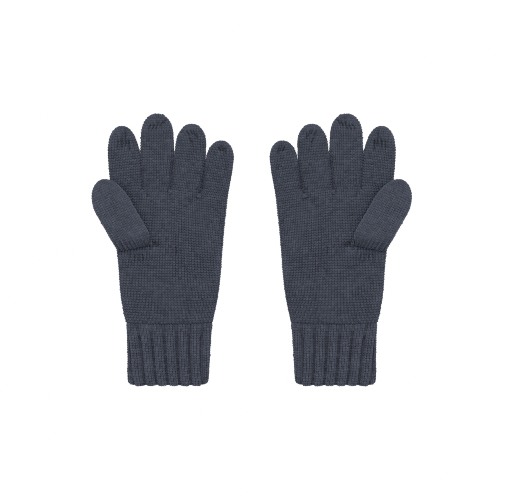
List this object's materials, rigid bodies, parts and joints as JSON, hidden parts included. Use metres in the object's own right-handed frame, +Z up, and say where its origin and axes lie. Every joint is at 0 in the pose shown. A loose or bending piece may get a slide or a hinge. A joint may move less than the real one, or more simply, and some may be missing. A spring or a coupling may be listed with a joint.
{
  "type": "knitted gloves",
  "caption": "Pair of dark knitted gloves lying flat, palms up and thumbs outward, with jersey finger tubes and wide-ribbed folded cuffs; fingers and thumbs bend up.",
  "frame": {"origin": "middle of the bottom of the pair's bounding box, on the surface that the gloves lie on", "axes": "+X across the pair from the left glove to the right one, +Y from the cuffs to the fingertips, +Z up, out of the palms"},
  "size_m": [0.2956, 0.254, 0.0247],
  "materials": {
    "jersey_knit": "matte jersey knit in dark slate yarn",
    "rib_knit": "matte wide rib knit in dark slate yarn",
    "seam_yarn": "matte yarn, a little darker because it sits in the seams"
  },
  "bodies": {
    "left_glove": {"left_hand": "jersey_knit", "left_cuff": "rib_knit", "left_cuff_seam": "seam_yarn", "left_thumb_seam": "seam_yarn", "left_crotch_stitches": "seam_yarn"},
    "left_index": {"left_index_finger": "jersey_knit", "left_index_closure": "seam_yarn"},
    "left_middle": {"left_middle_finger": "jersey_knit", "left_middle_closure": "seam_yarn"},
    "left_ring": {"left_ring_finger": "jersey_knit", "left_ring_closure": "seam_yarn"},
    "left_little": {"left_little_finger": "jersey_knit", "left_little_closure": "seam_yarn"},
    "left_thumb_body": {"left_thumb": "jersey_knit", "left_thumb_closure": "seam_yarn"},
    "right_glove": {"right_hand": "jersey_knit", "right_cuff": "rib_knit", "right_cuff_seam": "seam_yarn", "right_thumb_seam": "seam_yarn", "right_crotch_stitches": "seam_yarn"},
    "right_index": {"right_index_finger": "jersey_knit", "right_index_closure": "seam_yarn"},
    "right_middle": {"right_middle_finger": "jersey_knit", "right_middle_closure": "seam_yarn"},
    "right_ring": {"right_ring_finger": "jersey_knit", "right_ring_closure": "seam_yarn"},
    "right_little": {"right_little_finger": "jersey_knit", "right_little_closure": "seam_yarn"},
    "right_thumb_body": {"right_thumb": "jersey_knit", "right_thumb_closure": "seam_yarn"}
  },
  "joints": [
    {"name": "left_index_bend", "type": "hinge", "parent": "left_glove", "child": "left_index", "pos_m": [-0.1169, 0.069, 0.0137], "axis": [0.9915, 0.092, 0.0924], "range_deg": [0, 80]},
    {"name": "left_middle_bend", "type": "hinge", "parent": "left_glove", "child": "left_middle", "pos_m": [-0.08765, 0.0678, 0.0137], "axis": [0.9999, 0.0087, 0.0087], "range_deg": [0, 80]},
    {"name": "left_ring_bend", "type": "hinge", "parent": "left_glove", "child": "left_ring", "pos_m": [-0.0595, 0.0678, 0.0137], "axis": [0.9949, -0.0713, -0.0715], "range_deg": [0, 80]},
    {"name": "left_little_bend", "type": "hinge", "parent": "left_glove", "child": "left_little", "pos_m": [-0.0328, 0.0637, 0.0137], "axis": [0.986, -0.1176, -0.1184], "range_deg": [0, 80]},
    {"name": "left_thumb_lift", "type": "hinge", "parent": "left_glove", "child": "left_thumb_body", "pos_m": [-0.1062, 0.0025, 0.0139], "axis": [0.9792, 0.2028, 0], "range_deg": [0, 80]},
    {"name": "right_index_bend", "type": "hinge", "parent": "right_glove", "child": "right_index", "pos_m": [0.1169, 0.069, 0.0137], "axis": [0.9915, -0.092, -0.0924], "range_deg": [0, 80]},
    {"name": "right_middle_bend", "type": "hinge", "parent": "right_glove", "child": "right_middle", "pos_m": [0.08765, 0.0678, 0.0137], "axis": [0.9999, -0.0087, -0.0087], "range_deg": [0, 80]},
    {"name": "right_ring_bend", "type": "hinge", "parent": "right_glove", "child": "right_ring", "pos_m": [0.0595, 0.0678, 0.0137], "axis": [0.9949, 0.0713, 0.0715], "range_deg": [0, 80]},
    {"name": "right_little_bend", "type": "hinge", "parent": "right_glove", "child": "right_little", "pos_m": [0.0328, 0.0637, 0.0137], "axis": [0.986, 0.1176, 0.1184], "range_deg": [0, 80]},
    {"name": "right_thumb_lift", "type": "hinge", "parent": "right_glove", "child": "right_thumb_body", "pos_m": [0.1062, 0.0025, 0.0139], "axis": [0.9792, -0.2028, 0], "range_deg": [0, 80]},
    {"name": "gloves_apart", "type": "slide", "parent": "left_glove", "child": "right_glove", "axis": [1, 0, 0], "range_m": [-0.03, 0.15]}
  ]
}
